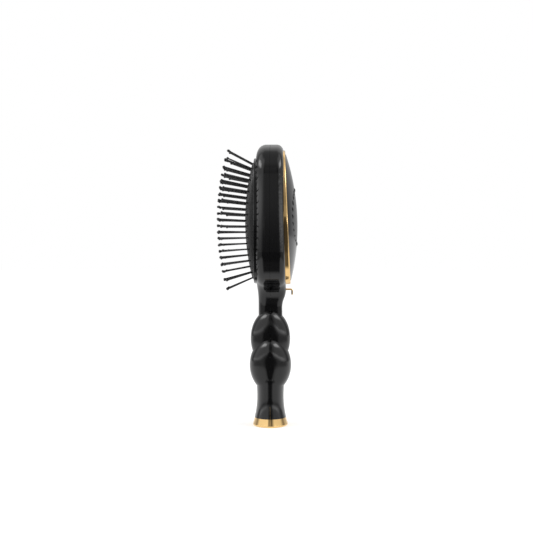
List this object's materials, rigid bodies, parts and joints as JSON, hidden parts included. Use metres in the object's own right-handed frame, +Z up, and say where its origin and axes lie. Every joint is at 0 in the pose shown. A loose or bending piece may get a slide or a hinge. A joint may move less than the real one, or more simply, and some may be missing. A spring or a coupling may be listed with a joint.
{
  "type": "detangling brush",
  "caption": "Cushion detangling brush with fanned ball-tipped pins, a glossy two-part housing with a stacked-bulb handle, a domed back panel in a gold bezel and a gold foot.",
  "frame": {"origin": "middle of the base cap's flat underside", "axes": "+Z up the handle to the head, -X the way the pins point, Y the brush's width"},
  "size_m": [0.0613, 0.078, 0.2128],
  "materials": {
    "gloss_black": "high gloss black lacquered plastic",
    "gold": "polished pale gold plating",
    "cushion_rubber": "satin black rubber membrane",
    "pin_nylon": "satin black nylon",
    "inner_plastic": "plain moulded black plastic, hidden",
    "screw_steel": "plain steel, hidden"
  },
  "bodies": {
    "housing": {"front_shell": "gloss_black", "rear_shell": "gloss_black", "cushion_frame": "gloss_black", "backing_plate": "inner_plastic", "clamp_screws": "screw_steel", "back_panel": "gloss_black", "bezel": "gold", "base_cap": "gold", "hook": "gold"},
    "pin_bed": {"cushion": "cushion_rubber", "pin_column_01": "pin_nylon", "pin_column_02": "pin_nylon", "pin_column_03": "pin_nylon", "pin_column_04": "pin_nylon", "pin_column_05": "pin_nylon", "pin_column_06": "pin_nylon", "pin_column_07": "pin_nylon", "pin_column_08": "pin_nylon", "pin_column_09": "pin_nylon", "pin_column_10": "pin_nylon", "pin_column_11": "pin_nylon"}
  },
  "joints": [
    {"name": "cushion_press", "type": "slide", "parent": "housing", "child": "pin_bed", "axis": [1, 0, 0], "range_m": [0, 0.003], "stiffness_N_per_m": 2000, "deforming": ["cushion"]}
  ]
}
